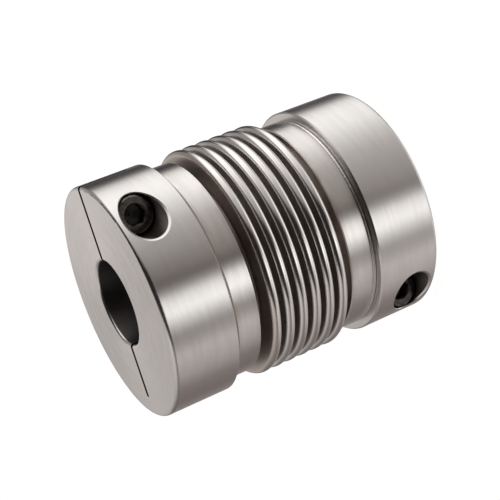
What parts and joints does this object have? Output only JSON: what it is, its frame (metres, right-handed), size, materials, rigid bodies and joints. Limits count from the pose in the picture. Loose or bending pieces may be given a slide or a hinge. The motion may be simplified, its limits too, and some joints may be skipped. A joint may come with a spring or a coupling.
{
  "type": "bellows coupling",
  "caption": "Torsionally stiff shaft coupling: two steel clamp hubs, each with a slit and a cap screw, joined by a thin corrugated steel bellows with welded collars.",
  "frame": {"origin": "centre of the lower hub's end face, on which the coupling stands", "axes": "+Z along the shaft axis towards the upper hub; both clamp screws are driven from -Y; the lower slit opens towards -X and the upper slit towards +X"},
  "size_m": [0.065, 0.065, 0.081],
  "materials": {
    "turned_steel": "fine turned, satin",
    "collar_steel": "fine turned, satin",
    "bellows_steel": "bright rolled, near mirror",
    "blackened_steel": "black oxide, satin"
  },
  "bodies": {
    "lower_end": {"lower_hub": "turned_steel", "lower_collar": "collar_steel", "lower_clamp_screw": "blackened_steel"},
    "bellows": {"bellows": "bellows_steel"},
    "upper_end": {"upper_hub": "turned_steel", "upper_collar": "collar_steel", "upper_clamp_screw": "blackened_steel"}
  },
  "joints": [
    {"name": "bend_about_x", "type": "hinge", "parent": "lower_end", "child": "bellows", "pos_m": [0, 0, 0.0405], "axis": [1, 0, 0], "range_deg": [-1.5, 1.5], "stiffness_Nm_per_rad": 22.7, "deforming": ["bellows"]},
    {"name": "bend_about_y", "type": "hinge", "parent": "bellows", "child": "upper_end", "pos_m": [0, 0, 0.0405], "axis": [0, 1, 0], "range_deg": [-1.5, 1.5], "stiffness_Nm_per_rad": 22.7, "deforming": ["bellows"]}
  ]
}
